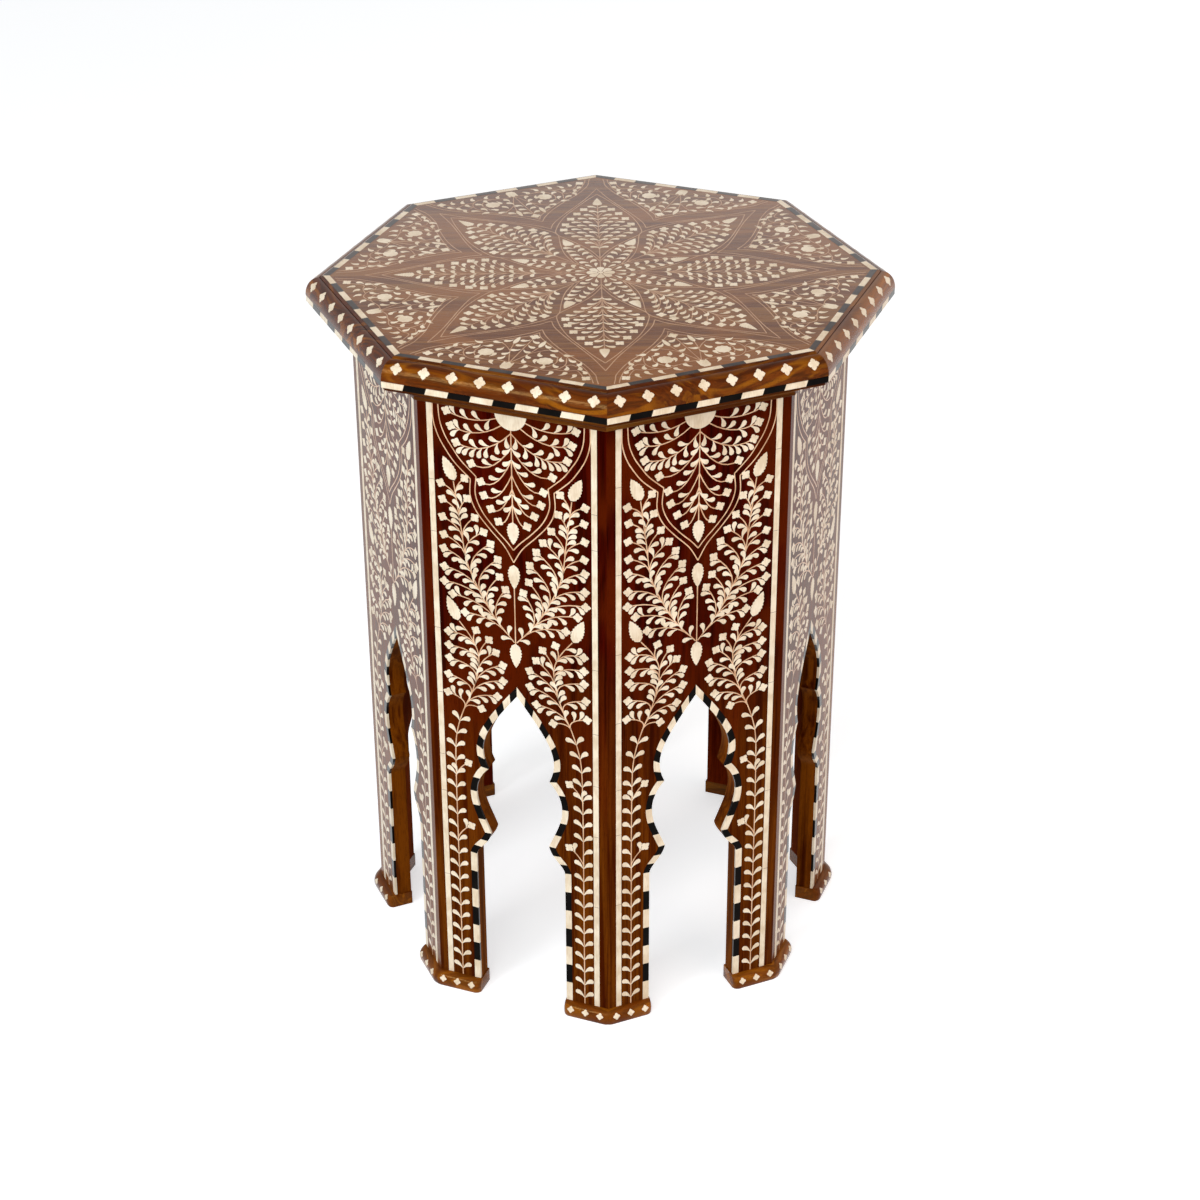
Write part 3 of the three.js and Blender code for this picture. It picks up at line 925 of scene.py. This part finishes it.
moulding = slips_along(np.vstack([
    [[BOARD_EDGE, BOARD_UNDER], [REBATE_BACK, BOARD_UNDER], [REBATE_BACK, REBATE_UP]],
    [[ROUND_OUT + ROUND_WIDE - 0.5, REBATE_UP]],
    ellipse(ROUND_OUT, ROUND_UP + 0.2, ROUND_WIDE, ROUND_HIGH - 0.2, 0, 90, 26),
    [[ROUND_OUT - 0.05, QUIRK_UP], [QUIRK_IN, QUIRK_UP]],
    ellipse(QUIRK_IN - ARRIS[0], ARRIS_UP, *ARRIS, 0, 58, 8),
]))[0]
lozenges = [((k - 3.5) * LOZENGE_SPACING, 0) for k in range(8)]
lozenges = wrapped_plates(blossoms(lozenges, 0, LOZENGE), 1.2)
lozenges = on_round(lozenges, ROUND_OUT, ROUND_UP, ROUND_WIDE, ROUND_HIGH, 46)
for side in range(SIDES):
    length, inlay = ((turned(points, side), faces) for points, faces in (moulding, lozenges))
    grain = moulding[0] + [side * 643, side * 83, 1000 * PALENESS[side]]
    node = [f"edge_moulding_{side + 1}"]
    make_piece(f"moulding_{side + 1}", length, amber_wood, node, grain)
    make_piece(f"moulding_lozenges_{side + 1}", inlay, bone)

# Moulding chequer strips
# Ten slips of bone and ebony a side in a rebate under the quarter-round. Their
# joints lean, and the end ones are mitred with the moulding.

CHEQUER_FRONT = 223.7
CHEQUER_LOW = BOARD_UNDER + 0.05
CHEQUER_HIGH = REBATE_UP - 0.1
CHEQUER_LEAN = 1.6

section = np.array([
    [CHEQUER_FRONT, CHEQUER_LOW], [CHEQUER_FRONT, CHEQUER_HIGH],
    [REBATE_BACK, CHEQUER_HIGH], [REBATE_BACK, CHEQUER_LOW],
])
lean = CHEQUER_LEAN * ((section[:, 1] - BOARD_UNDER) / (CHEQUER_HIGH - BOARD_UNDER) - 0.5)
slips = slips_along(section, 10, lean)
for name, first, finish in CHEQUER:
    chequer = joined(slips[first::2])
    make_round(f"moulding_chequer_{name}", chequer, finish, "moulding_chequer")

# Top board
# One octagonal board of the panels' hardwood, lacquered. All that is let into
# it is flush, so its face lies a hair below the inlay's.

BOARD_UP = 609.88
TOP_HAZE = (0.56, 0.66, 0.62)

top_wood = wood(
    "top_wood",
    [(102, 55, 23), (124, 77, 36), (148, 101, 50), (146, 90, 40)],
    specular=0.06,
    rough=0.26,
    haze=TOP_HAZE,
)
corner = BOARD_EDGE / math.cos(TURN / 2)
octagon = corner * towards((np.arange(SIDES) - 1.5) * TURN)
board = carried(np.stack([
    np.column_stack([octagon, np.full(SIDES, height)]) for height in (BOARD_UNDER, BOARD_UP)
]))
make_piece("top", board, top_wood, ["top_board"], turned(board[0], -0.5))

# Top chequer border
# Nine slips a side, ebony and bone in turn all the way round, so that each
# corner has one of either. The end slips are mitred.

BORDER_INNER = BOARD_EDGE - 5
BORDER_LOW = 609.4
BORDER_HIGH = 609.97

top_bone = inlay_finish("top_bone", (226, 204, 172), (248, 232, 206), 0.08, 0.26, TOP_HAZE)
# the top's ebony is given much paler tones than the arches' ebony: painted haze, the pale glancing
# reflection off the lacquer
top_ebony_painted_haze = inlay_finish("top_ebony_painted_haze", (40, 32, 30), (66, 56, 52), 0.06, 0.26, TOP_HAZE)
border = slips_along(np.array([
    [BOARD_EDGE, BORDER_LOW], [BOARD_EDGE, BORDER_HIGH],
    [BORDER_INNER, BORDER_HIGH], [BORDER_INNER, BORDER_LOW],
]), 9)
slips = [(turned(points, side), faces) for side in range(SIDES) for points, faces in border]
make_piece("border_ebony", joined(slips[::2]), top_ebony_painted_haze, ["top_chequer_border"])
make_piece("border_bone", joined(slips[1::2]), top_bone, ["top_chequer_border"])

# Flower of eight petals on the top
# Bone let into the board in eight like sectors: a feathered petal towards each
# corner, a small lobe between petals, and a field at each side with flowers
# and sprigs, all bounded by fine lines that leave a plain strap between them.

TOP_LEAF = (10, 4)
TOP_BEND = (0.1, 1.5)
LEAF_MIDDLE = [2, 3, 7, 8]  # points of a leaf's outline about its middle
TOP_SQUARE = 8.6
FINE_LINE = 0.8
ROUND_FLOWER = 6.2
ROSETTE_HUB = 2.2


def set_about(middles, headings, sides, size):
    """Outlines of leaves that lie about given middles."""
    middles = np.array(middles, float)
    headings, sides = (np.broadcast_to(value, len(middles)) for value in (headings, sides))
    outlines = leaves(0 * middles, headings, sides, size, TOP_BEND)
    return outlines + (middles - outlines[:, LEAF_MIDDLE].mean(1))[:, None]


def sector(shapes, offset):
    """Flat shapes (x, y, lift) drawn with y outwards, set eight times round
    the top at an offset of so many sides, with their lift from its face."""
    points, faces = joined(shapes)
    points = points * [-1, -1, 1] + [0, 0, BOARD_UP]
    return joined([(turned(points, offset + side), faces) for side in range(SIDES)])


petal_rim = smooth_line([
    (0, 31), (8.2, 49.3), (20.1, 66), (33.2, 81.4), (36.2, 88), (36.2, 95), (33.2, 111),
    (27.3, 129), (16.5, 150.5), (8.2, 166), (0, 179),
], 60)
petal_outer_low = smooth_line([(0, 24), (3.5, 32.6), (9.4, 44.5), (21.3, 61.2), (30.4, 73.4)], 24)
petal_outer_high = smooth_line([
    (40.6, 98), (38, 111), (29.6, 130), (18.9, 150.5), (9.4, 169.5), (0, 193),
], 36)
petal_stem = np.array([[0, 10.0], [0, 90], [0, 153]])
petal_twigs = branches(petal_stem, [
    (29.6, 95, 60), (28, 107, 72), (23.5, 120, 88), (18, 132, 105), (12, 142.3, 121),
    (27, 87.5, 52), (20.5, 80, 48), (13.5, 72.5, 52),
])
petal_squares = [twig[-1] for twig in petal_twigs[:5]]
petal_leaves = np.array([
    (4.4, 56), (8.9, 65.5), (4.4, 73), (14, 73.5), (8.6, 81), (20, 80.5), (4.8, 89.5), (15, 89),
    (26, 87.5), (9.8, 97), (20, 96.5), (4.8, 105), (15, 105.2), (24.6, 103), (9.6, 113),
    (19.6, 112.6), (4.8, 121), (14.2, 121.2), (9, 129.8), (4.4, 138), (5.4, 149),
])
petal_turns = np.radians(88 - 1.1 * petal_leaves[:, 0])
petals = [
    plates(set_about(petal_leaves, petal_turns, -1, TOP_LEAF)),
    plates(blossoms(petal_squares, math.pi / 4, TOP_SQUARE)),
    plates(buds([[(0, 152.3), (0, 169.5)]], 8.4, 0.42)),
]
petal_lines = [petal_rim, petal_outer_low, petal_outer_high] + petal_twigs
petal_lines = inlaid_lines(petal_lines, [petal_stem], FINE_LINE)

lobe_leaves = [(4.7, 26), (5.2, 35), (5.2, 44), (5, 52.5), (4.6, 60.5)]
lobes = [
    plates(set_about(lobe_leaves, 1.5, -1, (9, 4.6))),
    plates(set_about([(3.5, 18)], 1.45, -0.3, (9, 3))),
    plates(buds([[(0, 64), (0, 80)]], 9.2, 0.42)),
]

field_outer = smooth_line([
    (0, 124.5), (6.8, 134.3), (20.2, 148), (37.4, 161.6), (53.7, 172.8), (68.7, 187.3),
    (73.2, 195.1), (77.5, 202.6),
], 40)
field_inner = smooth_line([
    (0, 130.5), (4.8, 138.9), (18.9, 151.2), (38.1, 166.4), (56.5, 179.5), (68, 193.6),
    (73.4, 202.6),
], 40)
field_stems = [
    smooth_line([(0.5, 190), (4.5, 180), (8, 170), (10.6, 156)], 20),
    smooth_line([(8, 170), (14, 163), (20, 158)], 12),
    smooth_line([(1.5, 190), (10, 189), (20, 191), (29, 188), (33.5, 179), (31, 169)], 26),
    smooth_line([(20, 191), (31, 194), (39, 188), (41.5, 179), (38, 168)], 22),
    smooth_line([(37, 190.5), (47, 189), (53, 186), (58, 190), (62, 195)], 22),
    smooth_line([(41.3, 181), (46, 178), (51, 179.5)], 10),
]
field_leaves = np.array([  # x, y, heading in degrees, side
    (5, 149, 85, -1), (5.2, 158.5, 85, -1), (5.2, 168, 85, -1),
    (9.4, 176.6, 110, -1), (9.2, 185, 120, -1), (16.8, 153.8, 95, -1), (24.2, 158.6, 60, -1),
    (16.4, 170, 120, -1), (26.4, 167, 150, 1), (35.2, 172.6, 120, -1), (17, 180.5, 200, 1),
    (27.2, 188.8, 20, 1), (14, 193.6, 0, -1), (23.6, 197.2, 0, -1), (35.4, 184.8, 100, -1),
    (36.6, 163.4, 110, 1), (44.2, 171.6, 80, -1), (51.6, 175, 30, 1), (36.6, 196.8, -20, -1),
    (45.4, 185.6, 10, 1), (46.8, 194.4, -10, -1), (54.6, 181.8, 0, 1), (55.4, 195.6, -30, -1),
    (60.6, 187.2, -20, 1),
])
x, y, heading, bends = field_leaves.T
field_leaves = set_about(np.stack([x, y], -1), np.radians(heading), bends, (8.8, 4))
wave = np.tile([1.05, 1, 0.95, 1], 10)[:, None]
round_flower = ROUND_FLOWER * towards(np.arange(40) * np.pi / 20) * wave
rosette_petal = np.array([
    (0.75, 2.6), (1.75, 5), (2.8, 7.5), (3.2, 9), (2.8, 10.4), (1.6, 11.4), (0, 11.8),
    (-1.6, 11.4), (-2.8, 10.4), (-3.2, 9), (-2.8, 7.5), (-1.75, 5), (-0.75, 2.6),
])
points, faces = plates([ROSETTE_HUB * towards(np.arange(16) * np.pi / 8)])
hub = points + [0, 0, BOARD_UP], faces
vase = np.array([
    (-2.6, 202), (2.6, 202), (4.4, 199), (4.4, 193), (4.1, 189.8), (2.2, 191.6), (0, 189.2),
    (-2.2, 191.6), (-4.1, 189.8), (-4.4, 193), (-4.4, 199),
])
fields = [
    plates(field_leaves),
    plates([round_flower + [24.4, 178.6]]),
    plates(blossoms([(65.2, 196.6)], 0.3, 8.4)),
    plates(buds([[(10.6, 157), (10.8, 143)]], 4.2, 0.8)),
    plates(blossoms([(0, 139.6)], 0, 9)),
    plates([vase[::-1]]),
]
field_stem = np.array([[0, 191.0], [0, 165], [0, 143]])
field_lines = inlaid_lines([field_outer, field_inner] + field_stems, [field_stem], FINE_LINE)

top_line = inlay_finish("top_line", (176, 132, 98), (204, 164, 128), 0.08, 0.26, TOP_HAZE)
petals += [plates([rosette_petal])]
top_inlay = joined([sector(petals, 0.5), sector(lobes + fields, 0), hub])
top_lines = joined([sector([petal_lines], 0.5), sector([field_lines], 0)])
make_piece("top_inlay", top_inlay, top_bone)
make_piece("top_lines", top_lines, top_line)

# Room
# A white sweep with a key lamp on the left, one in front, a wide warm fill on
# the right and a weak rim behind. Floor and walls look white to the camera
# and in reflections, and the floor keeps the shadow.

FLOOR = 40  # half its width
FLOOR_WHITE = (0.59, 0.595, 0.6, 1)
ROOM_LIGHT = 0.39  # beside the white that is seen
LAMP_AIM = np.array([0, 0, 0.35])


def seen_share(shade):
    """1 for rays that look: from the camera, off gloss or through glass."""
    looks = [shade.node("ShaderNodeLightPath", {}, {}, k) for k in (0, 3, 6)]
    return (looks[0] + looks[1] + looks[2]).between(0, 1)


floor_paint, shader, shade = principled("floor_paint", {
    "Base Color": (0.76, 0.79, 0.82, 1),
    "Roughness": 0.9,
    "Specular IOR Level": 0,
    "Emission Strength": 1,
})
seen_share(shade).mixed((0, 0, 0, 1), FLOOR_WHITE).feeds(shader, "Emission Color")
floor_mesh = bpy.data.meshes.new("floor")
corners = [(-FLOOR, -FLOOR, 0), (FLOOR, -FLOOR, 0), (FLOOR, FLOOR, 0), (-FLOOR, FLOOR, 0)]
floor_mesh.from_pydata(corners, [], [(0, 1, 2, 3)])
floor_mesh.materials.append(floor_paint)
floor = in_scene("floor", floor_mesh)

room = bpy.data.worlds.new("room")
bpy.context.scene.world = room
room.use_nodes = True
background = room.node_tree.nodes["Background"]
background.inputs["Color"].default_value = (1, 1, 1, 1)
seen = seen_share(Shade(room.node_tree))
(ROOM_LIGHT + (1 - ROOM_LIGHT) * seen).feeds(background, "Strength")


def bearing(azimuth, elevation):
    """Unit vector from the table to a place seen from it at two angles."""
    level = math.cos(elevation)
    return np.array([math.sin(azimuth) * level, -math.cos(azimuth) * level, math.sin(elevation)])


def lamp(name, azimuth, elevation, distance, size, power, tint):
    """A square soft lamp that faces the table's middle."""
    light = bpy.data.lights.new(name, "AREA")
    light.size, light.energy, light.color = size, power, tint
    azimuth, elevation = math.radians(azimuth), math.radians(elevation)
    hung = in_scene(name, light)
    hung.rotation_euler = (math.pi / 2 - elevation, 0, azimuth)
    hung.location = LAMP_AIM + bearing(azimuth, elevation) * distance


lamp("key", -20, 26, 2.8, 0.7, 28, (1, 1, 1))
lamp("front", 8, 35, 3, 1.6, 28, (1, 0.99, 0.97))
lamp("fill", 75, 20, 3, 3, 37, (1, 0.78, 0.66))
lamp("rim", 165, 20, 3, 2, 8, (1, 0.8, 0.6))

# Camera: eye and aim in metres and degrees, from the picture's vanishing lines
azimuth, elevation, roll = (math.radians(angle) for angle in (21.54, 29.58, -0.27))
distance, aim_left, aim_up = 2.2746, 0.00185, 0.3016
eye = bpy.data.cameras.new("eye")
eye.lens, eye.clip_end = 77.78, 300
camera = in_scene("eye", eye)
aim = np.array([-aim_left * math.cos(azimuth), -aim_left * math.sin(azimuth), aim_up])
camera.location = aim + bearing(azimuth, elevation) * distance
camera.rotation_mode = "QUATERNION"
aim_turn = Matrix.Rotation(azimuth, 4, "Z") @ Matrix.Rotation(math.pi / 2 - elevation, 4, "X")
camera.rotation_quaternion = (aim_turn @ Matrix.Rotation(roll, 4, "Z")).to_quaternion()
bpy.context.scene.camera = camera
bpy.context.scene.view_settings.view_transform = "Standard"
